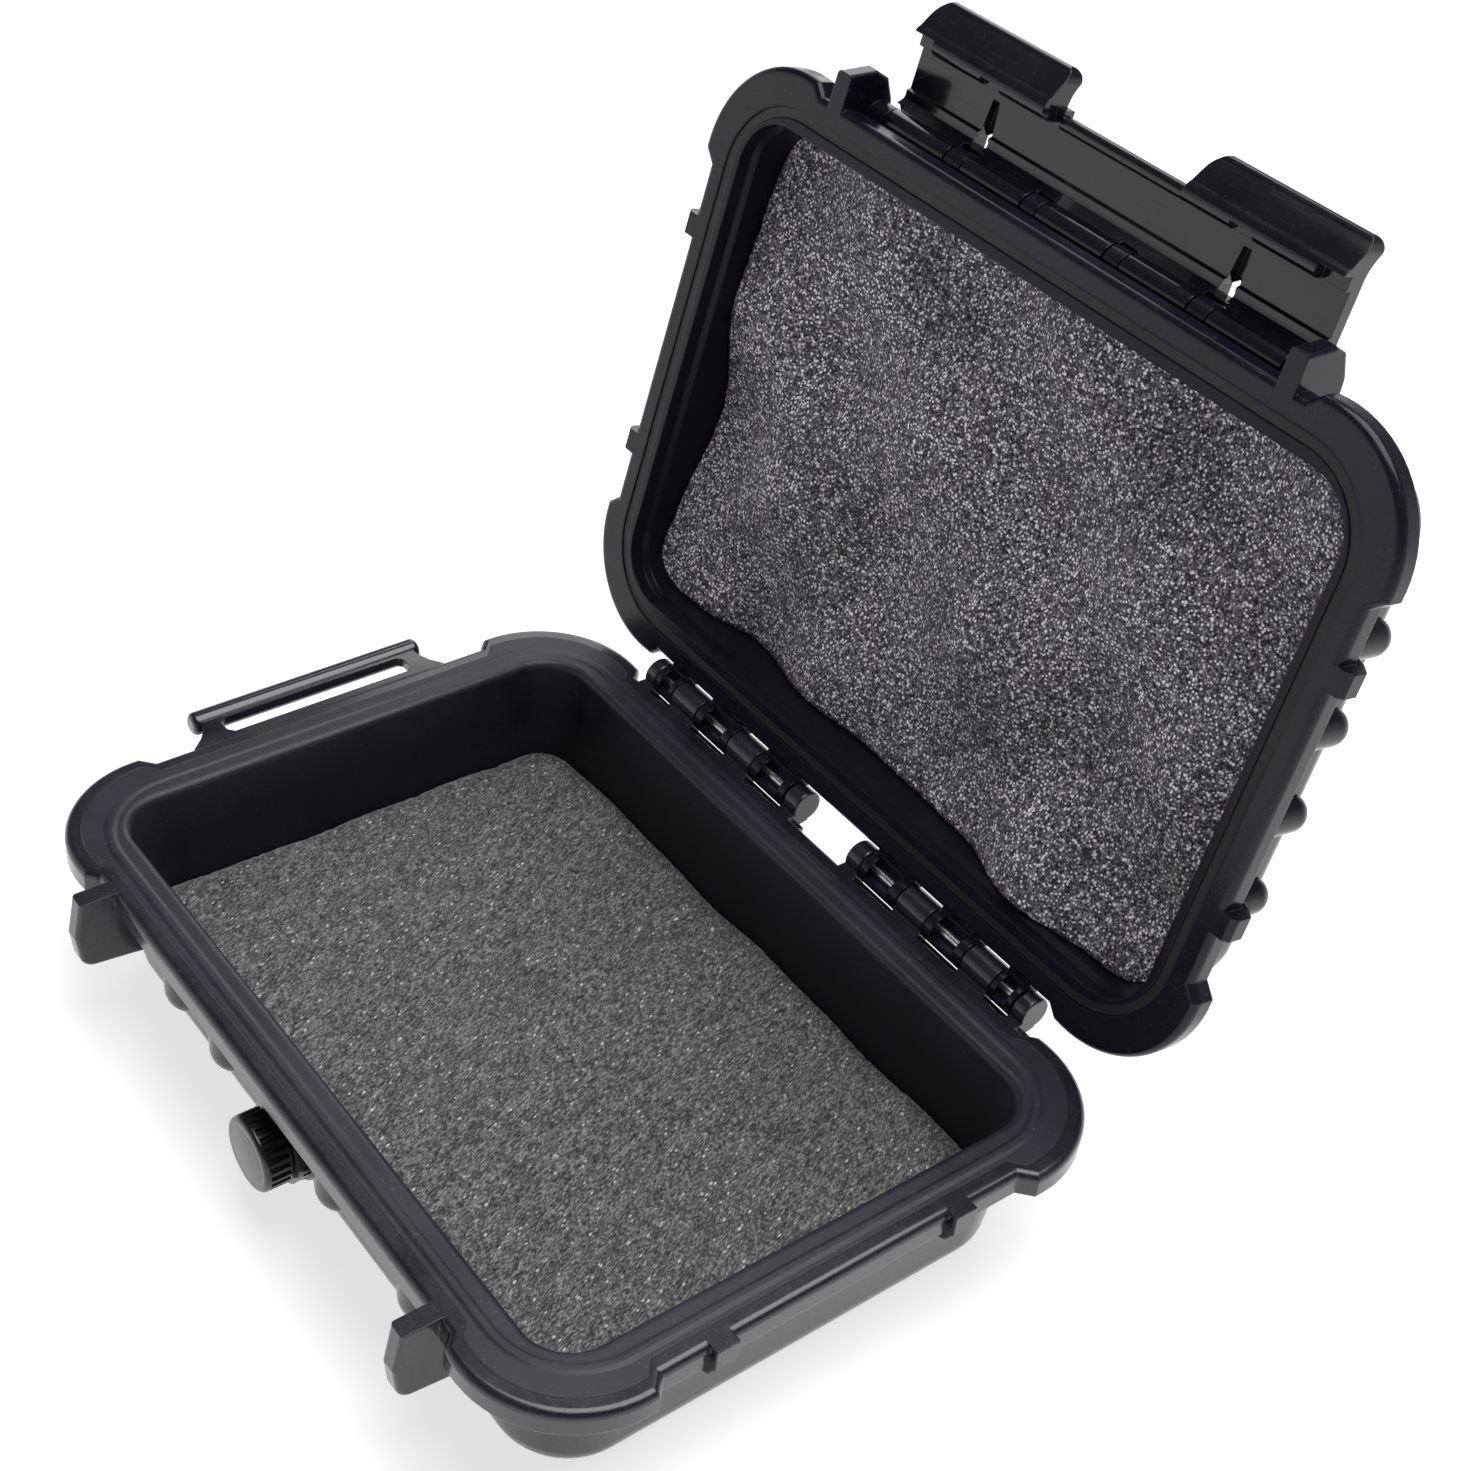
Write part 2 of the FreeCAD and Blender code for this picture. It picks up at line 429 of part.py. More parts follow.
# ---------------------------------------------------------------- latch, drawn in the stored pose of the closed-lid frame
def latch():
    """u runs out from the pivot along the plate (-Y), v runs up (+Z), both from the pivot axis."""
    py, pz = LATCH_Y, zl(LATCH_Z)

    def yz(u, v):
        return (py - u, pz + v)

    W = LATCH_W
    plate = prism_yz([yz(0.8, LATCH_OUT), yz(17.2, LATCH_OUT), yz(17.2, LATCH_IN), yz(0.8, LATCH_IN)], -W, W)
    neck = prism_yz([yz(-2.1, 2.4), yz(-1.0, 4.6), yz(1.0, LATCH_OUT), yz(7.4, LATCH_OUT), yz(7.4, LATCH_IN), yz(6.6, LATCH_IN), yz(6.2, 3.0), yz(5.2, 3.0), yz(4.6, 2.9), yz(3.9, 1.9), yz(3.1, 0.7), yz(0.0, 0.0)], -W, W)
    body = plate.fuse(neck)
    barrel = cyl(LATCH_BARREL_R, (-W, py, pz), (1, 0, 0), 2 * W)
    body = body.fuse(barrel)
    # two lips, each with a hooked ridge and a thick rounded tip that flares outward
    lip = Part.Face(curved(
        (14.75, LATCH_IN + 0.2),
        [(14.75, 1.3), ((15.3, 0.35), (16.5, 0.05)), ((17.6, 0.45), (18.6, 1.45)), ((20.9, 3.35), (22.9, 5.4)),
         ((23.75, 6.9), (23.2, 8.1)), ((22.2, 8.45), (21.0, 8.0)), ((19.2, 6.9), (17.0, LATCH_OUT)), (14.75, LATCH_OUT)],
        lambda u, v: V(15.2, py - u, pz + v))).extrude(V(W - 15.2, 0, 0))
    # outline of each lip seen square on: hollow flank to the centre notch, rounded tip corners
    keep = Part.Face(curved(
        (12.0, 14.0),
        [(15.2, 14.2), ((16.5, 14.9), (17.1, 16.3)), (17.5, 20.6), ((18.4, 23.0), (20.6, 24.0)), (49.6, 24.0), ((51.8, 23.0), (W, 20.8)), (W, 14.0)],
        lambda x, u: V(x, py - u, pz - 6))).extrude(V(0, 0, 20))
    keep = keep.fuse(box(0, W, py - 14.75, py + 6, pz - 6, pz + 14))
    right = lip.common(keep)
    # the ridge stops short of the lip's outer end and is notched in line with the groove
    right = right.cut(prism_yz([yz(14.0, -1.0), yz(17.4, -1.0), yz(17.4, 2.6), yz(14.0, 2.6)], 47.2, W + 1))
    right = right.cut(prism_yz([yz(14.0, -1.0), yz(16.2, -1.0), yz(16.2, 1.7), yz(14.0, 1.7)], 28.4, 33.6))
    body = body.fuse([right, mx(right)])
    # the plate stops short between the lips, with a rolled edge
    body = body.cut(box(-15.2, 15.2, py - 30, py - 15.1, pz - 6, pz + 14))
    roll = cyl(1.45, (-15.4, py - 14.9, pz + 4.9), (1, 0, 0), 30.8)
    body = body.fuse(roll)
    # tapering groove in the plate's inner face, with a hole through at its foot
    groove = prism_xy([(29.3, py - 3.6), (32.7, py - 3.6), (32.1, py - 12.6), (30.3, py - 12.6)], pz + 0.6, pz + LATCH_OUT - 0.7)
    hole = prism_xy([(29.3, py - 3.2), (32.7, py - 3.2), (32.7, py - 5.4), (31.0, py - 6.7), (29.3, py - 5.4)], pz - 4, pz + 12)
    cutter = groove.fuse(hole)
    body = body.cut([cutter, mx(cutter)])
    # gaps in the barrel for the lid's arms
    for a, b, deep in ((8.4, 12.8, 2.9), (28.5, 33.5, 3.7), (50.2, W + 1, 3.6)):
        gap = cyl(LATCH_BARREL_R + 0.45, (a, py, pz), (1, 0, 0), b - a)
        gap = gap.fuse(prism_yz([yz(-8, 9.0), yz(1.7, 9.0), yz(1.7, 3.35), yz(deep, 2.2), yz(deep, -5), yz(-8, -5)], a, b))
        body = body.cut([gap, mx(gap)])
    body = body.cut(cyl(PIN_BORE_R, (-W - 2, py, pz), (1, 0, 0), 2 * W + 4))
    body = one(body)
    return body


def latch_pin():
    p = cyl(PIN_R, (-54.3, LATCH_Y, zl(LATCH_Z)), (1, 0, 0), 108.6)
    return fillet(p, 0.2, lambda e: e.Curve.TypeId == "Part::GeomCircle", "latch pin ends")


# ---------------------------------------------------------------- pressure-release valve
def ribbed_disc(r, y0, y1, n, depth, crown=0.0, width=1.1):
    d = cyl(r, (0, y0, VALVE_Z), (0, 1, 0), y1 - y0)
    if crown:
        d = fillet(d, crown, lambda e: e.Curve.TypeId == "Part::GeomCircle" and e.BoundBox.YMax < y0 + 0.01, "disc crown")
    cuts = []
    for i in range(n):
        a = 2 * math.pi * i / n
        c = cyl(width / 2, ((r + width / 2 - depth) * math.cos(a), y0 + 1.1, VALVE_Z + (r + width / 2 - depth) * math.sin(a)), (0, 1, 0), y1 - y0)
        cuts.append(c)
    return d.cut(cuts)


def valve_body():
    """Collar outside the wall, threaded shank through it, and a stepped bore for the screw and its seal."""
    s = ribbed_disc(7.9, -58.1, -55.7, 24, 0.35)
    s = s.fuse(cyl(4.5, (0, -55.8, VALVE_Z), (0, 1, 0), 9.0))
    s = s.cut(cyl(3.45, (0, -59, VALVE_Z), (0, 1, 0), 5.9))
    s = s.cut(cyl(2.06, (0, -59, VALVE_Z), (0, 1, 0), 14))
    return s


def valve_gasket():
    """Flat ring that seals the collar against the wall."""
    return cyl(6.35, (0, -55.65, VALVE_Z), (0, 1, 0), 0.9).cut(cyl(4.65, (0, -57, VALVE_Z), (0, 1, 0), 4))


def valve_nut():
    """Hexagon nut that clamps the shank from inside."""
    pts = []
    for i in range(6):
        a = math.radians(60 * i + 30)
        pts.append((6.6 * math.cos(a), VALVE_Z + 6.6 * math.sin(a)))
    n = prism_xz(pts, -49.45, -47.1)
    return n.cut(cyl(4.56, (0, -52, VALVE_Z), (0, 1, 0), 8))


def valve_knob():
    """Fluted screw knob with a slightly domed face."""
    s = ribbed_disc(KNOB_R, KNOB_FACE_Y + 0.25, -58.3, 24, 0.65, crown=0.9, width=1.25)
    # shallow dome on the face
    rs = 60.0
    dome = Part.makeSphere(rs, V(0, KNOB_FACE_Y + rs, VALVE_Z)).common(cyl(5.2, (0, KNOB_FACE_Y - 0.5, VALVE_Z), (0, 1, 0), 1.2))
    s = s.fuse(dome)
    # turned-down neck on the back
    s = s.cut(cyl(KNOB_R + 1, (0, -58.9, VALVE_Z), (0, 1, 0), 1.0).cut(cyl(6.4, (0, -59.5, VALVE_Z), (0, 1, 0), 2.0)))
    return s.cut(cyl(2.02, (0, -61.5, VALVE_Z), (0, 1, 0), 5))


def valve_stem():
    """Screw fixed in the knob; it runs in the valve body's threaded bore."""
    s = cyl(2.0, (0, -61.4, VALVE_Z), (0, 1, 0), 13.6)
    return fillet(s, 0.4, lambda e: e.Curve.TypeId == "Part::GeomCircle" and e.BoundBox.YMin > -50, "stem tip")


def valve_seal():
    """Ring round the screw that closes the vent path when the knob is down."""
    return Part.makeTorus(2.7, 0.62, V(0, -56.6, VALVE_Z), V(0, 1, 0))


# ---------------------------------------------------------------- write the parts
def main():
    save("base_shell", base_shell())
    save("base_liner", base_liner())
    save("base_foam", base_foam())
    save("hinge_pin_right", hinge_pin(8.5))
    save("hinge_pin_left", hinge_pin(-59.1))
    save("valve_body", valve_body())
    save("valve_gasket", valve_gasket())
    save("valve_nut", valve_nut())
    save("valve_seal", valve_seal())
    save("valve_knob", valve_knob())
    save("valve_stem", valve_stem())
    save("lid_shell", lid_pose(lid_shell()))
    save("lid_gasket", lid_pose(lid_gasket()))
    save("lid_foam", lid_pose(lid_foam()))
    save("latch", lid_pose(latch()))
    save("latch_pin", lid_pose(latch_pin()))


main()
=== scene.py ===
import json
import math

import bpy
import numpy as np
from mathutils import Matrix, Vector, noise


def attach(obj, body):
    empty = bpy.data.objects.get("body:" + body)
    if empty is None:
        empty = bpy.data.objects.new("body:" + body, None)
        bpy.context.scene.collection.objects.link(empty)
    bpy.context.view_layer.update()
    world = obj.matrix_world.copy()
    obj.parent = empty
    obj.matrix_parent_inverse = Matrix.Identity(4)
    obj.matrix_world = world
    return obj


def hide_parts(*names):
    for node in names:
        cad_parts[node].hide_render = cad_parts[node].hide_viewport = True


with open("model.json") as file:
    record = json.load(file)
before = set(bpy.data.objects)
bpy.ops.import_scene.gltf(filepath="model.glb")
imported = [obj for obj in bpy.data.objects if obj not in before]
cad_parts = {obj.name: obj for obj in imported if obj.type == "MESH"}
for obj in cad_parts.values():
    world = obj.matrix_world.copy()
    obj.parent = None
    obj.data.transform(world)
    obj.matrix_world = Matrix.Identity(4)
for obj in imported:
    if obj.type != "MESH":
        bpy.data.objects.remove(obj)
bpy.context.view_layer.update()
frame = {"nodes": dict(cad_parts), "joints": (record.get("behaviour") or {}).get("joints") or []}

# Looks of the small carry case: foam pads as their own meshes, a procedural material on every piece,
# the floor, the lights and the camera. Metres, in the row frame; the lid stands open at rest.
scene = bpy.context.scene
MM = 0.001

# ---------------------------------------------------------------- where the lid is
hinge = next(j for j in frame["joints"] if j["name"] == "lid_hinge")
HY, HZ = hinge["pos_m"][1] / MM, hinge["pos_m"][2] / MM
OPEN = math.radians(hinge["range_deg"][1])
RIM_Z = 34.0


def lid_pose(p):
    """Closed-lid coordinates in mm (n, 3) to the open pose."""
    p = np.asarray(p, float).copy()
    c, s = math.cos(-OPEN), math.sin(-OPEN)
    y, z = p[:, 1] - HY, p[:, 2] - HZ
    p[:, 1] = HY + y * c - z * s
    p[:, 2] = HZ + y * s + z * c
    return p


# ---------------------------------------------------------------- foam pads
def square_to_plan(u, v, hx, hy, r):
    """A grid over the bounding rectangle, with its corner squares turned into quarter discs."""
    x, y = u * hx, v * hy
    ax, ay = np.abs(x), np.abs(y)
    cx, cy = hx - r, hy - r
    a = np.clip((ax - cx) / r, 0, 1)
    b = np.clip((ay - cy) / r, 0, 1)
    corner = (ax > cx) & (ay > cy)
    nx = np.where(corner, cx + r * a * np.sqrt(np.maximum(0, 1 - b * b / 2)), ax)
    ny = np.where(corner, cy + r * b * np.sqrt(np.maximum(0, 1 - a * a / 2)), ay)
    return np.sign(x) * nx, np.sign(y) * ny


def edge_distance(x, y, hx, hy, r):
    """Distance inside a rounded rectangle to its outline."""
    qx, qy = np.abs(x) - (hx - r), np.abs(y) - (hy - r)
    out = np.hypot(np.maximum(qx, 0), np.maximum(qy, 0)) + np.minimum(np.maximum(qx, qy), 0) - r
    return -out


def field(x, y, size, seed):
    """Smooth noise over the plan, about -1 to 1."""
    return np.array([noise.noise(Vector((a / size, b / size, seed))) for a, b in zip(x, y)])


def foam_block(name, plan, low_plan, step, low_z, top, fuzz, seed, turn_from, pose=None):
    """Closed foam pad: a fine upper face, ragged cut sides that follow it down, and a flat back with a turned-in edge."""
    hx, hy, r = plan
    nu, nv = int(round(2 * hx / step)), int(round(2 * hy / step))
    gu, gv = np.meshgrid(np.linspace(-1, 1, nu + 1), np.linspace(-1, 1, nv + 1), indexing="ij")
    u, v = gu.ravel(), gv.ravel()
    x, y = square_to_plan(u, v, hx, hy, r)
    d = edge_distance(x, y, hx, hy, r)
    z = top(x, y)
    # torn cells along the cut edge
    rag = field(x, y, 1.5, seed + 5.0) * 0.5 + field(x, y, 0.9, seed + 9.0) * 0.5
    near = np.exp(-np.maximum(d, 0) / 0.9)
    z = z - near * (0.45 + 0.5 * np.abs(rag))
    z = z + fuzz * field(x, y, 1.15, seed + 1.0) + 0.7 * fuzz * field(x, y, 2.6, seed + 2.0)
    n = np.hypot(x, y) + 1e-9
    inward = near * 0.28 * rag
    x1, y1 = x - inward * x / n, y - inward * y / n
    upper = np.stack([x1, y1, z], 1)

    def ring_ids():
        f = lambda i, j: i * (nv + 1) + j
        ids = [f(i, 0) for i in range(nu)] + [f(nu, j) for j in range(nv)]
        ids += [f(i, nv) for i in range(nu, 0, -1)] + [f(0, j) for j in range(nv, 0, -1)]
        return np.array(ids)

    rim = ring_ids()
    m = len(rim)
    lx, ly = square_to_plan(u[rim], v[rim], *low_plan)
    wx, wy = x[rim], y[rim]
    walls, levels = [], 6
    for k in range(1, levels + 1):
        t = k / levels
        side = field(wx + 40 * k, wy, 3.0, seed + 20.0) * 0.12
        turn = max(0.0, (t - turn_from) / (1 - turn_from))
        pull = 1 - math.sqrt(max(0.0, 1 - turn * turn))
        px = wx * (1 - pull) + lx * pull
        py = wy * (1 - pull) + ly * pull
        q = np.hypot(px, py)
        px, py = px * (1 - np.abs(side) / q), py * (1 - np.abs(side) / q)
        pz = z[rim] * (1 - t) + low_z * t
        walls.append(np.stack([px, py, pz], 1))
    # the back face reuses a coarser grid: its own outline is the last wall ring
    centre = np.array([[0.0, 0.0, low_z]])
    inner = []
    for s in (0.8, 0.5, 0.22):
        q = walls[-1].copy()
        q[:, :2] *= s
        inner.append(q)
    pts = np.concatenate([upper] + walls + inner + [centre])
    faces = []
    f = lambda i, j: i * (nv + 1) + j
    up = 1 if low_z < float(np.mean(z)) else -1
    for i in range(nu):
        for j in range(nv):
            q = (f(i, j), f(i + 1, j), f(i + 1, j + 1), f(i, j + 1))
            faces.append(q if up > 0 else q[::-1])
    rings = [list(rim)] + [list(range(len(upper) + k * m, len(upper) + (k + 1) * m)) for k in range(levels + len(inner))]
    for a, b in zip(rings, rings[1:]):
        for i in range(m):
            k = (i + 1) % m
            q = (a[i], b[i], b[k], a[k])
            faces.append(q if up > 0 else q[::-1])
    last, c = rings[-1], len(pts) - 1
    for i in range(m):
        k = (i + 1) % m
        q = (last[i], c, last[k])
        faces.append(q if up > 0 else q[::-1])
    if pose is not None:
        pts = pose(pts)
    me = bpy.data.meshes.new(name)
    me.from_pydata((pts * MM).tolist(), [], [tuple(int(k) for k in q) for q in faces])
    me.validate()
    me.update()
    me.polygons.foreach_set("use_smooth", [True] * len(me.polygons))
    ob = bpy.data.objects.new(name, me)
    scene.collection.objects.link(ob)
    return ob


def base_top(x, y):
    """Flat cut sheet, a little uneven, standing up and dipping along its rear and left edges."""
    z = 11.5 + 0.28 * field(x, y, 34.0, 3.1) + 0.16 * field(x, y, 12.0, 7.7)
    rear = np.exp(-np.maximum(0, 49.5 - y) / 3.6)
    z = z + rear * (0.45 * np.sin(x / 8.3 + 0.6) + 0.3 * np.sin(x / 4.1 + 1.9) - 0.25)
    left = np.exp(-np.maximum(0, x + 74.3) / 4.0)
    z = z + left * (0.2 * np.sin(y / 9.0 - 0.4) + 0.15 * np.sin(y / 3.7 + 1.0))
    # relief where the pad is cut back round the valve's nut
    z = z - 2.2 * np.exp(-((x / 8.5) ** 2 + ((y + 49.5) / 3.6) ** 2))
    return z


def eased(t, knots):
    """Smooth curve through (position, value) knots, level at each of them."""
    k = np.array([a for a, _ in knots], float)
    v = np.array([b for _, b in knots], float)
    i = np.clip(np.searchsorted(k, t) - 1, 0, len(k) - 2)
    w = np.clip((t - k[i]) / (k[i + 1] - k[i]), 0, 1)
    return v[i] + (v[i + 1] - v[i]) * (0.5 - 0.5 * np.cos(math.pi * w))


# depth of the lid pad's cut edge below the rim, along the -X end and along the hinge side
LEFT_EDGE = [(-52, 12.2), (-48, 12.0), (-30, 10.2), (-13.5, 8.8), (12.3, 14.4), (37.3, 10.1), (47.7, 8.6), (52, 8.5)]
HINGE_EDGE = [(-78, 8.6), (-61.5, 9.2), (-46, 13.8), (-24, 9.3), (-8, 10.9), (8, 10.4), (22.7, 9.3), (43.6, 3.2), (63.5, 7.3), (78, 9.6)]


def lid_top(x, y):
    """Convoluted face: staggered swells, with one swell bulging past the hinge-side edge. Depth below the lid's rim."""
    a, b = 2 * math.pi / 59.0, math.pi / 30.8
    wob = 2.6 * field(x, y, 42.0, 11.0)
    wave = np.cos(a * (x + 18.0 + wob)) * np.cos(b * (y - 48.0 + wob))
    depth = 11.2 - 3.7 * wave - 0.4 * wave * np.abs(wave)
    depth = depth + 0.8 * field(x, y, 27.0, 5.0)
    depth = depth + 6.0 * np.exp(-(((x - 72.0) / 7.5) ** 2 + ((y - 12.0) / 11.0) ** 2))
    left = np.exp(-((np.maximum(0, x + 76.5) / 13.0) ** 2))
    hinge_side = np.exp(-((np.maximum(0, 51.3 - y) / 12.0) ** 2))
    depth = depth + left * (1 - 0.5 * hinge_side) * (eased(y, LEFT_EDGE) - depth)
    depth = depth + hinge_side * (1 - 0.5 * left) * (eased(x, HINGE_EDGE) - depth)
    return RIM_Z + depth


base_pad = foam_block("base_foam_pad", (74.2, 49.4, 6.8), (69.2, 44.4, 5.5), 0.85, 5.25, base_top, 0.10, 1.0, 0.25)
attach(base_pad, "base")
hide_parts("base_foam")

lid_pad = foam_block("lid_foam_pad", (76.5, 51.2, 9.2), (71.6, 46.4, 5.2), 0.85, RIM_Z + 22.4, lid_top, 0.13, 31.0, 0.62, pose=lid_pose)
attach(lid_pad, "lid")
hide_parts("lid_foam")


# ---------------------------------------------------------------- node helpers
class Tree:
    def __init__(self, name):
        self.mat = bpy.data.materials.new(name)
        self.mat.use_nodes = True
        self.t = self.mat.node_tree
        self.t.nodes.clear()
        self.out = self.t.nodes.new("ShaderNodeOutputMaterial")
        self.bsdf = self.t.nodes.new("ShaderNodeBsdfPrincipled")
        self.t.links.new(self.bsdf.outputs[0], self.out.inputs[0])
        coord = self.t.nodes.new("ShaderNodeTexCoord")
        sc = self.t.nodes.new("ShaderNodeVectorMath")
        sc.operation = "SCALE"
        sc.inputs["Scale"].default_value = 1000.0
        self.t.links.new(coord.outputs["Object"], sc.inputs[0])
        self.mm = sc.outputs[0]

    def link(self, a, b):
        self.t.links.new(a, b)

    def put(self, socket, value):
        if isinstance(value, bpy.types.NodeSocket):
            self.t.links.new(value, socket)
        else:
            socket.default_value = value

    def stretch(self, vec, scale):
        n = self.t.nodes.new("ShaderNodeMapping")
        n.inputs["Scale"].default_value = scale
        self.link(vec, n.inputs["Vector"])
        return n.outputs[0]

    def spin(self, vec, degrees):
        n = self.t.nodes.new("ShaderNodeMapping")
        n.inputs["Rotation"].default_value = (0.0, 0.0, math.radians(degrees))
        self.link(vec, n.inputs["Vector"])
        return n.outputs[0]

    def noise(self, size, detail=2.0, rough=0.5, vec=None, distort=0.0, out="Fac"):
        n = self.t.nodes.new("ShaderNodeTexNoise")
        n.inputs["Scale"].default_value = 1.0 / size
        n.inputs["Detail"].default_value = detail
        n.inputs["Roughness"].default_value = rough
        n.inputs["Distortion"].default_value = distort
        self.link(vec or self.mm, n.inputs["Vector"])
        return n.outputs[out]

    def cells(self, size, feature="F1", out="Distance", vec=None, random=1.0):
        n = self.t.nodes.new("ShaderNodeTexVoronoi")
        n.feature = feature
        n.inputs["Scale"].default_value = 1.0 / size
        n.inputs["Randomness"].default_value = random
        self.link(vec or self.mm, n.inputs["Vector"])
        return n.outputs[out]

    def channel(self, colour, i=0):
        n = self.t.nodes.new("ShaderNodeSeparateColor")
        self.link(colour, n.inputs[0])
        return n.outputs[i]

    def math(self, op, a, b=0.0, clamp=False):
        n = self.t.nodes.new("ShaderNodeMath")
        n.operation = op
        n.use_clamp = clamp
        self.put(n.inputs[0], a)
        self.put(n.inputs[1], b)
        return n.outputs[0]

    def span(self, v, a, b, c=0.0, d=1.0, smooth=False):
        n = self.t.nodes.new("ShaderNodeMapRange")
        n.clamp = True
        if smooth:
            n.interpolation_type = "SMOOTHSTEP"
        self.put(n.inputs[0], v)
        for i, k in enumerate((a, b, c, d)):
            n.inputs[i + 1].default_value = k
        return n.outputs[0]

    def ramp(self, v, stops, interp="LINEAR"):
        n = self.t.nodes.new("ShaderNodeValToRGB")
        r = n.color_ramp
        r.interpolation = interp
        while len(r.elements) > 1:
            r.elements.remove(r.elements[-1])
        r.elements[0].position = stops[0][0]
        r.elements[0].color = (*stops[0][1], 1.0)
        for p, c in stops[1:]:
            e = r.elements.new(p)
            e.color = (*c, 1.0)
        self.put(n.inputs[0], v)
        return n.outputs[0]

    def mix(self, f, a, b, blend="MIX"):
        n = self.t.nodes.new("ShaderNodeMix")
        n.data_type = "RGBA"
        n.blend_type = blend
        self.put(n.inputs[0], f)
        self.put(n.inputs[6], (*a, 1.0) if isinstance(a, tuple) else a)
        self.put(n.inputs[7], (*b, 1.0) if isinstance(b, tuple) else b)
        return n.outputs[2]

    def bevel(self, radius):
        n = self.t.nodes.new("ShaderNodeBevel")
        n.samples = 4
        n.inputs["Radius"].default_value = radius * MM
        return n.outputs[0]

    def bump(self, height, depth_mm, strength=1.0, normal=None):
        n = self.t.nodes.new("ShaderNodeBump")
        n.inputs["Strength"].default_value = strength
        n.inputs["Distance"].default_value = depth_mm * MM
        self.link(height, n.inputs["Height"])
        if normal is not None:
            self.link(normal, n.inputs["Normal"])
        return n.outputs[0]

    def along(self, towards, offset=0.0):
        """Distance in mm along a direction, from the plane that the offset gives."""
        n = self.t.nodes.new("ShaderNodeVectorMath")
        n.operation = "DOT_PRODUCT"
        self.link(self.mm, n.inputs[0])
        n.inputs[1].default_value = towards
        return self.math("ADD", n.outputs["Value"], offset)

    def within(self, x, y, hx, hy, r, soft=0.3):
        """1 inside a rounded rectangle of the two coordinates, 0 outside."""
        a = self.math("MAXIMUM", self.math("SUBTRACT", self.math("ABSOLUTE", x), hx - r), 0.0)
        b = self.math("MAXIMUM", self.math("SUBTRACT", self.math("ABSOLUTE", y), hy - r), 0.0)
        d = self.math("SQRT", self.math("ADD", self.math("MULTIPLY", a, a), self.math("MULTIPLY", b, b)))
        return self.span(d, r + soft, r - soft)

    def edge_mask(self, soft, lo, hi):
        """How sharply the surface turns here, from the difference of the softened and the true normal."""
        g = self.t.nodes.new("ShaderNodeNewGeometry")
        n = self.t.nodes.new("ShaderNodeVectorMath")
        n.operation = "DOT_PRODUCT"
        self.link(soft, n.inputs[0])
        self.link(g.outputs["Normal"], n.inputs[1])
        return self.span(n.outputs["Value"], 1.0 - lo, 1.0 - hi)


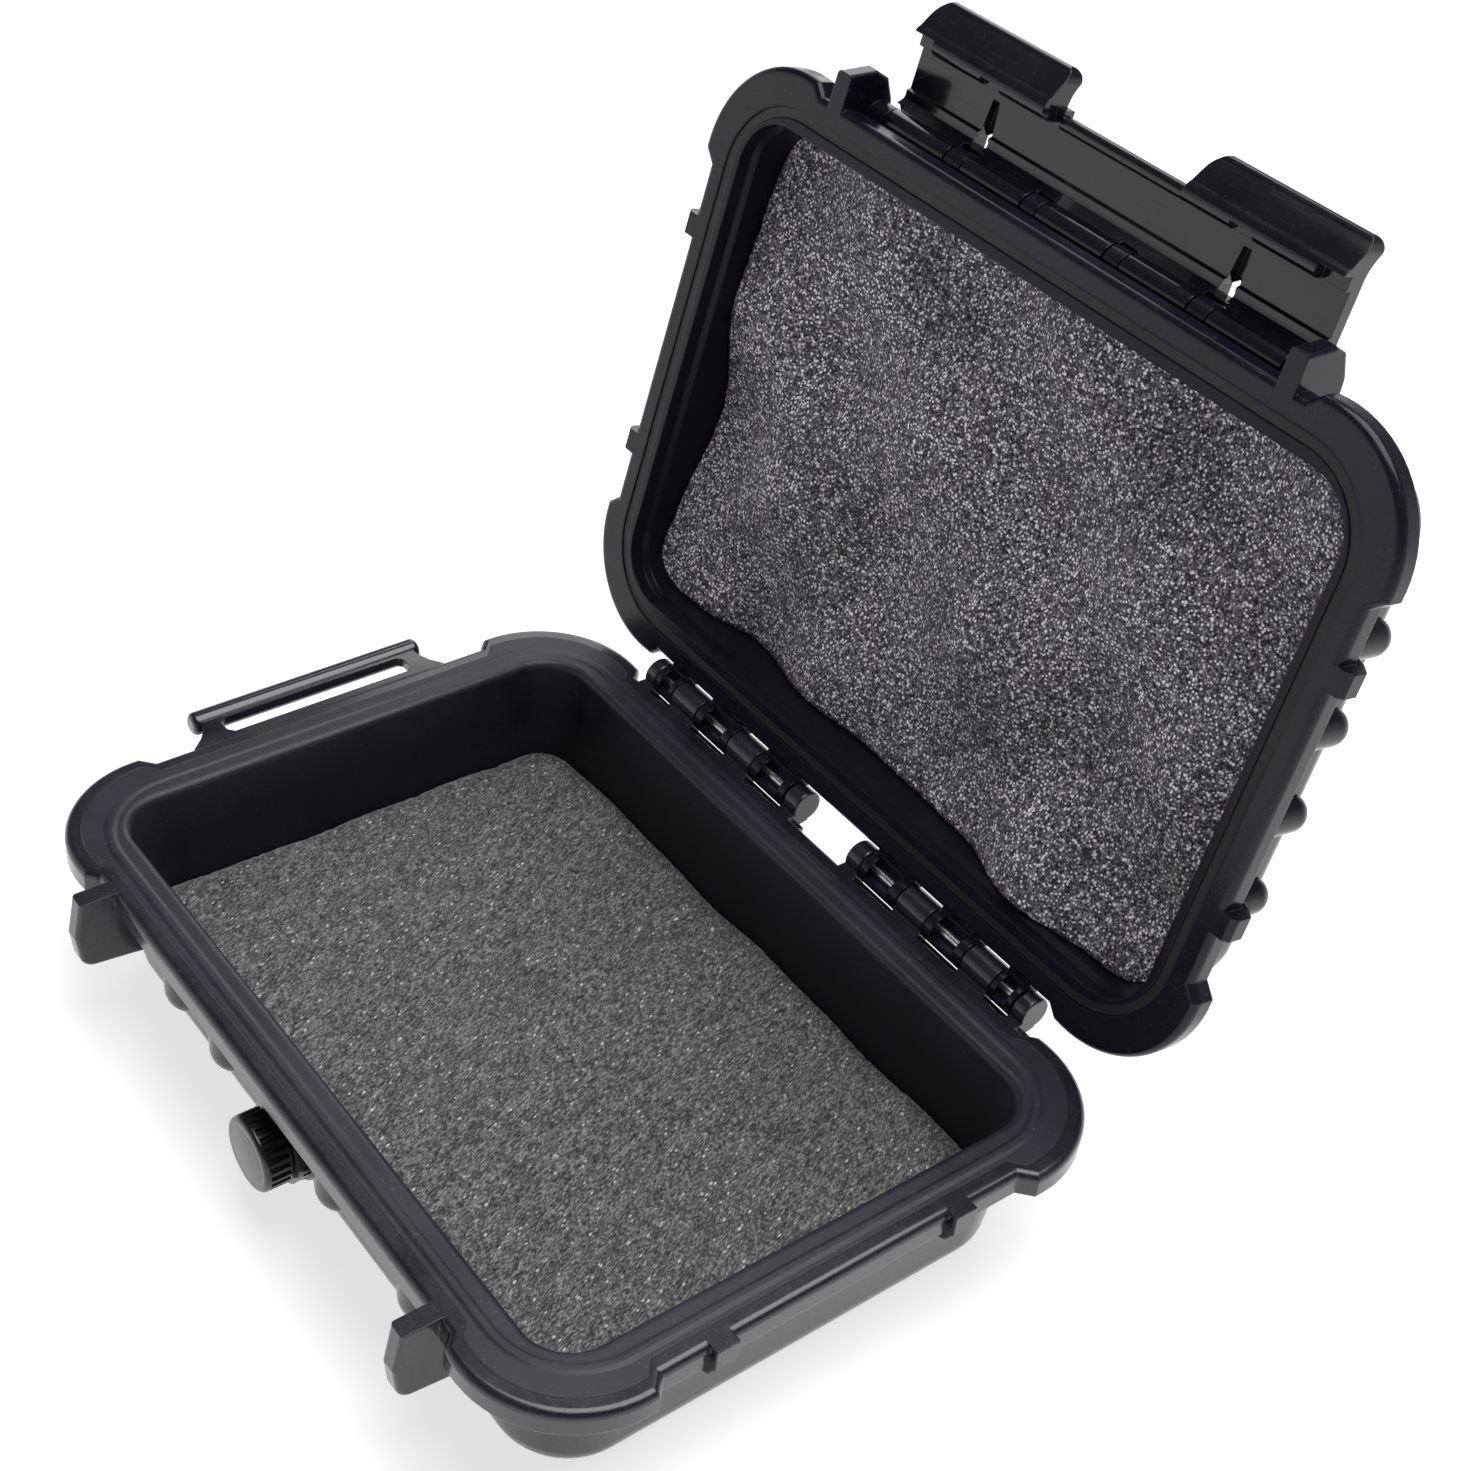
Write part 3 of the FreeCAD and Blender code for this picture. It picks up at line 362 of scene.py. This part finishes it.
def moulded(name, dark, light, rough, grain=0.32, grain_depth=0.012, edge=0.28, wear=(0.10, 0.10, 0.11), wear_amount=0.35,
            coat=0.0, coat_rough=0.1, specular=0.5, dust=0.5, scratch=0.0, flow=0.3, inside=None):
    """Moulded polymer: fine tool grain, faint flow mottling, soft edges with slight polish, a little dust and handling marks."""
    t = Tree(name)
    b = t.bsdf
    soft = t.bevel(edge)
    broad = t.noise(17.0, 3.0, 0.55)
    mid = t.noise(3.2, 3.0, 0.6, distort=0.4)
    streak = t.noise(2.2, 2.0, 0.5, vec=t.stretch(t.mm, (0.08, 1.0, 0.35)))
    tone = t.math("ADD", t.math("MULTIPLY", broad, 0.6), t.math("MULTIPLY", mid, 0.25))
    tone = t.math("ADD", tone, t.math("MULTIPLY", streak, 0.15 + flow * 0.2))
    col = t.mix(t.span(tone, 0.34, 0.68), dark, light)
    # pale fine dust caught in the grain
    fine = t.cells(0.42, out="Color")
    fleck = t.span(t.channel(fine, 0), 0.972, 0.995)
    col = t.mix(t.math("MULTIPLY", fleck, 0.22 * dust), col, (0.16, 0.16, 0.17))
    specks = t.cells(5.5)
    spot = t.math("MULTIPLY", t.span(specks, 0.028, 0.014), 0.5 * dust)
    col = t.mix(spot, col, (0.33, 0.33, 0.34))
    # rubbed edges
    rubbed = t.math("MULTIPLY", t.edge_mask(soft, 0.015, 0.22), t.span(mid, 0.35, 0.7, 0.25, 1.0))
    col = t.mix(t.math("MULTIPLY", rubbed, wear_amount), col, wear)
    # a deeper tone over part of a piece: painted shade on the walls of a hollow, or a darker tone on the strap bar
    if inside:
        mask, dim, keep, rougher = inside
        painted_shade_or_tone_mask = mask(t)
        col = t.mix(painted_shade_or_tone_mask, col, t.mix(1.0, col, (dim, dim * 1.02, dim * 1.3), "MULTIPLY"))
    t.link(col, b.inputs["Base Color"])
    # gloss: uneven polish, handled edges smoother, scuffs
    r = t.math("ADD", t.math("MULTIPLY", t.span(broad, 0.3, 0.7), 0.10), rough - 0.05)
    r = t.math("ADD", r, t.math("MULTIPLY", t.span(mid, 0.3, 0.75), 0.06))
    r = t.math("SUBTRACT", r, t.math("MULTIPLY", rubbed, 0.08))
    height = t.noise(grain, 2.0, 0.6)
    if scratch > 0:
        s1 = t.noise(0.5, 1.0, 0.4, vec=t.stretch(t.mm, (0.035, 1.3, 1.0)), distort=0.25)
        s2 = t.noise(0.55, 1.0, 0.4, vec=t.stretch(t.mm, (1.1, 0.9, 0.04)), distort=0.3)
        marks = t.math("MAXIMUM", t.span(s1, 0.665, 0.70), t.span(s2, 0.675, 0.71))
        r = t.math("ADD", r, t.math("MULTIPLY", marks, 0.16 * scratch))
    if inside:
        r = t.math("ADD", r, t.math("MULTIPLY", painted_shade_or_tone_mask, rougher))
    t.link(t.math("ADD", r, t.math("MULTIPLY", spot, 0.2), clamp=True), b.inputs["Roughness"])
    n = t.bump(height, grain_depth, 1.0, soft)
    n = t.bump(broad, 0.05, 0.35, n)
    t.link(n, b.inputs["Normal"])
    b.inputs["IOR"].default_value = 1.48
    b.inputs["Specular IOR Level"].default_value = specular
    if coat:
        if inside:
            t.link(t.span(painted_shade_or_tone_mask, 0.0, 1.0, coat, coat * keep), b.inputs["Coat Weight"])
        else:
            b.inputs["Coat Weight"].default_value = coat
        b.inputs["Coat Roughness"].default_value = coat_rough
    return t.mat


def foam(name, low, mid, high, grain, painted_glint_colour, painted_glint_size, painted_glint_share, depth, painted_dapple, lay=None, tint=None, sheen=0.2):
    """Open-cell foam: a fine web of cells in uneven grey, with painted glints: bright points in the colour where cell
    walls would catch the light.
    """
    t = Tree(name)
    b = t.bsdf
    at = t.stretch(t.spin(t.mm, lay), (0.42, 1.0, 1.0)) if lay is not None else t.mm
    web = t.noise(grain, 3.0, 0.72, vec=at)
    coarse = t.noise(grain * 2.6, 2.0, 0.6, vec=at, distort=0.3)
    tone = t.math("ADD", t.math("MULTIPLY", web, 0.72), t.math("MULTIPLY", coarse, 0.28))
    body = t.ramp(t.span(tone, 0.37, 0.63), [(0.0, low), (0.5, mid), (1.0, high)])
    # painted glints for cell walls catching the light: small bright round points of several sizes
    for k, (size, share) in enumerate(((painted_glint_size, painted_glint_share), (painted_glint_size * 1.22, painted_glint_share * 0.6), (painted_glint_size * 1.55, painted_glint_share * 0.22))):
        at_k = t.stretch(at, (1.0 + 0.07 * k, 1.0 - 0.05 * k, 1.0 + 0.03 * k))
        dist = t.cells(size * 1.5, vec=at_k)
        rnd = t.channel(t.cells(size * 1.5, out="Color", vec=at_k), k % 3)
        on = t.math("MULTIPLY", t.span(rnd, 1.0 - share, 1.0 - share * 0.3), t.span(dist, 0.44, 0.24))
        body = t.mix(on, body, painted_glint_colour)
    # slow patches: partly uneven tone, partly painted light and shade standing in for the dapples of the foam's swells
    slow = t.noise(24.0, 2.0, 0.5)
    mids = t.noise(5.5, 3.0, 0.6)
    shade = t.math("ADD", t.math("MULTIPLY", t.span(slow, 0.33, 0.67), painted_dapple), t.math("MULTIPLY", t.span(mids, 0.3, 0.7), painted_dapple * 0.45))
    shade = t.math("ADD", shade, 1.0 - painted_dapple * 0.72)
    body = t.mix(1.0, body, t.mix(shade, (0.0, 0.0, 0.0), (1.0, 1.0, 1.0)), "MULTIPLY")
    if tint:
        body = t.mix(t.span(t.noise(9.0, 2.0, 0.5), 0.35, 0.7, 0.3, 1.0), body, t.mix(1.0, body, tint, "MULTIPLY"))
    t.link(body, b.inputs["Base Color"])
    t.link(t.span(web, 0.3, 0.7, 0.98, 0.80), b.inputs["Roughness"])
    b.inputs["Specular IOR Level"].default_value = 0.15
    b.inputs["Sheen Weight"].default_value = sheen
    b.inputs["Sheen Roughness"].default_value = 0.55
    n = t.bump(tone, depth, 0.9)
    n = t.bump(t.noise(3.4, 3.0, 0.6), depth * 2.0, 0.3, n)
    t.link(n, b.inputs["Normal"])
    return t.mat


def steel(name):
    """Ground steel pin: fine turning lines and a light oily tone."""
    t = Tree(name)
    b = t.bsdf
    lines = t.noise(0.16, 3.0, 0.6, vec=t.stretch(t.mm, (1.0, 0.12, 0.12)))
    spots = t.noise(1.4, 3.0, 0.6)
    col = t.mix(t.span(spots, 0.35, 0.7), (0.60, 0.60, 0.61), (0.44, 0.43, 0.42))
    col = t.mix(t.math("MULTIPLY", t.span(lines, 0.4, 0.7), 0.3), col, (0.75, 0.75, 0.76))
    t.link(col, b.inputs["Base Color"])
    b.inputs["Metallic"].default_value = 1.0
    t.link(t.span(lines, 0.2, 0.8, 0.16, 0.36), b.inputs["Roughness"])
    t.link(t.bump(lines, 0.01, 0.6, t.bevel(0.1)), b.inputs["Normal"])
    return t.mat


# the open lid's own axes: into it from the rim plane, and across it from the hinge to the latch
LID_IN = (0.0, math.sin(OPEN), math.cos(OPEN))
LID_AT = -(HY * LID_IN[1] + HZ * LID_IN[2]) + (HZ - RIM_Z)
LID_ACROSS = (0.0, math.cos(OPEN), -math.sin(OPEN))
LID_Y0 = -(HY * LID_ACROSS[1] + HZ * LID_ACROSS[2]) + HY


# painted shade: the liner darker from just below its rim down its walls, where less light reaches
def liner_wall_painted_shade(t):
    return t.span(t.along((0.0, 0.0, -1.0), RIM_Z), 0.9, 13.0, smooth=True)


# a darker band round the lid's inner lip, and painted shade over the lid hollow's walls and roof
def lid_band_and_painted_shade(t):
    depth = t.along(LID_IN, LID_AT)
    x, y = t.along((1.0, 0.0, 0.0)), t.along(LID_ACROSS, LID_Y0)
    lip = t.math("MULTIPLY", t.within(x, y, 81.9, 57.1, 17.4), t.span(depth, 3.4, 2.6))
    walls = t.math("MULTIPLY", t.within(x, y, 78.3, 53.0, 11.4, 0.1), t.span(depth, 1.0, 2.0))
    return t.math("MAXIMUM", lip, walls)


def strap_bar(t):
    return t.span(t.along((-1.0, 0.0, 0.0)), 86.8, 90.0)


# inside: painted shade down the liner's walls and over the lid hollow's walls, a darker band round the lid's inner lip,
# and a darker tone on the strap bar
M = {
    "base_shell": moulded("base_shell_plastic", (0.0076, 0.0077, 0.0136), (0.0148, 0.0150, 0.0238), 0.22, grain_depth=0.006, edge=0.45, wear=(0.050, 0.051, 0.064), dust=0.35, scratch=0.6, coat=0.35, coat_rough=0.09, specular=0.5, inside=(strap_bar, 0.60, 1.4, -0.10)),
    "lid_shell": moulded("lid_shell_plastic", (0.0034, 0.0037, 0.0080), (0.0076, 0.0083, 0.0152), 0.20, grain_depth=0.005, edge=0.45, wear=(0.040, 0.041, 0.052), dust=0.4, scratch=0.5, coat=0.12, coat_rough=0.08, specular=0.22, inside=(lid_band_and_painted_shade, 0.60, 0.0, 0.10)),
    "base_liner": moulded("liner_rubber", (0.0108, 0.0109, 0.0186), (0.0200, 0.0203, 0.0325), 0.38, grain=0.25, grain_depth=0.008, edge=0.5, wear=(0.045, 0.048, 0.062), wear_amount=0.5, dust=0.9, flow=0.6, specular=0.42, inside=(liner_wall_painted_shade, 0.40, 0.0, 0.10)),
    "lid_gasket": moulded("gasket_rubber", (0.0022, 0.0022, 0.0034), (0.0045, 0.0045, 0.0065), 0.55, grain=0.3, grain_depth=0.010, edge=0.15, wear_amount=0.1, dust=0.4),
    "latch": moulded("latch_gloss_black", (0.0024, 0.0026, 0.0050), (0.0048, 0.0051, 0.0090), 0.13, grain=0.9, grain_depth=0.003, edge=0.35, wear=(0.030, 0.030, 0.036), wear_amount=0.4, coat=0.36, coat_rough=0.04, specular=0.36, dust=0.3, scratch=0.6),
    "valve_body": moulded("valve_gloss_black", (0.0030, 0.0030, 0.0036), (0.0058, 0.0058, 0.0064), 0.16, grain=0.6, grain_depth=0.004, edge=0.15, coat=0.6, coat_rough=0.07, dust=0.3),
    "valve_knob": moulded("knob_satin_black", (0.0036, 0.0036, 0.0042), (0.0074, 0.0074, 0.0084), 0.26, grain=0.25, grain_depth=0.008, edge=0.22, wear=(0.05, 0.05, 0.052), wear_amount=0.5, coat=0.35, coat_rough=0.13, dust=0.6, scratch=0.8),
}
M["valve_nut"] = M["valve_body"]
M["valve_gasket"] = M["lid_gasket"]
M["valve_seal"] = M["lid_gasket"]
steel_mat = steel("pin_steel")
for n in ("hinge_pin_right", "hinge_pin_left", "latch_pin", "valve_stem"):
    M[n] = steel_mat

for n, m in M.items():
    o = frame["nodes"][n]
    if not o.material_slots:
        o.data.materials.append(m)
    for s in o.material_slots:
        s.material = m

base_pad.data.materials.append(foam("base_foam_cells", (0.010, 0.010, 0.010), (0.093, 0.093, 0.092), (0.30, 0.30, 0.30), 0.38, (0.62, 0.62, 0.62), 0.32, 0.06, 0.22, 0.12, lay=67.0))
lid_pad.data.materials.append(foam("lid_foam_cells", (0.003, 0.003, 0.004), (0.066, 0.063, 0.070), (0.40, 0.39, 0.42), 0.46, (1.0, 1.0, 1.0), 0.44, 0.66, 0.34, 0.48, tint=(0.97, 0.90, 1.0), sheen=0.08))

# ---------------------------------------------------------------- floor
fl = Tree("floor_white")
speck = fl.noise(60.0, 3.0, 0.5)
fl.link(fl.mix(fl.span(speck, 0.3, 0.7), (0.62, 0.62, 0.62), (0.65, 0.65, 0.65)), fl.bsdf.inputs["Base Color"])
fl.link(fl.span(fl.noise(2.0, 2.0, 0.5), 0.2, 0.8, 0.75, 0.9), fl.bsdf.inputs["Roughness"])
fl.bsdf.inputs["Specular IOR Level"].default_value = 0.1
# a lit white table: some light comes up through it
fl.bsdf.inputs["Emission Color"].default_value = (1.0, 1.0, 1.0, 1.0)
fl.bsdf.inputs["Emission Strength"].default_value = 0.68
fm = bpy.data.meshes.new("floor")
k = 6.0
fm.from_pydata([(-k, -k, 0), (k, -k, 0), (k, k, 0), (-k, k, 0)], [], [(0, 1, 2, 3)])
floor = bpy.data.objects.new("floor", fm)
floor.location.z = -0.00005
fm.materials.append(fl.mat)
scene.collection.objects.link(floor)

# ---------------------------------------------------------------- light
world = bpy.data.worlds.new("studio")
world.use_nodes = True
bg = next(n for n in world.node_tree.nodes if n.type == "BACKGROUND")
bg.inputs[0].default_value = (1.0, 1.0, 1.0, 1.0)
# pale studio walls low down, dimmer overhead
way = world.node_tree.nodes.new("ShaderNodeTexCoord")
split = world.node_tree.nodes.new("ShaderNodeSeparateXYZ")
fall = world.node_tree.nodes.new("ShaderNodeMapRange")
fall.interpolation_type = "SMOOTHSTEP"
for i, value in enumerate((0.04, 0.40, 0.72, 0.12)):
    fall.inputs[i + 1].default_value = value
world.node_tree.links.new(way.outputs["Generated"], split.inputs[0])
world.node_tree.links.new(split.outputs["Z"], fall.inputs[0])
world.node_tree.links.new(fall.outputs[0], bg.inputs[1])
scene.world = world


def softbox(name, at, to, size, watts, tint=(1.0, 1.0, 1.0)):
    d = bpy.data.lights.new(name, "AREA")
    d.shape = "RECTANGLE"
    d.size, d.size_y = size
    d.energy = watts
    d.color = tint
    o = bpy.data.objects.new(name, d)
    o.location = at
    o.rotation_mode = "QUATERNION"
    o.rotation_quaternion = (Vector(to) - Vector(at)).to_track_quat("-Z", "Y")
    scene.collection.objects.link(o)
    return o


softbox("top", (0.10, 0.25, 1.05), (0.0, 0.05, 0.05), (0.9, 0.9), 12.6)
softbox("front", (-0.62, -0.80, 0.34), (0.0, 0.08, 0.10), (0.9, 0.7), 0.9)
softbox("rear_left", (-0.85, 0.75, 0.70), (0.0, 0.0, 0.05), (0.5, 0.9), 3.0)

scene.view_settings.view_transform = "Standard"
scene.view_settings.look = "None"

# ---------------------------------------------------------------- camera
cam_data = bpy.data.cameras.new("camera")
cam_data.sensor_fit = "HORIZONTAL"
cam_data.sensor_width = 36.0
cam_data.lens = 58.274
cam_data.clip_start, cam_data.clip_end = 0.01, 30.0
cam = bpy.data.objects.new("camera", cam_data)
right = Vector((0.59911904, 0.79464878, 0.09792696))
up = Vector((-0.54440272, 0.31462397, 0.77758436))
back = Vector((0.58709629, -0.5191773, 0.62110617))
m = Matrix((right, up, back)).transposed().to_4x4()
m.translation = Vector((0.25495663, -0.18868788, 0.34019388))
cam.matrix_world = m
scene.collection.objects.link(cam)
scene.camera = cam
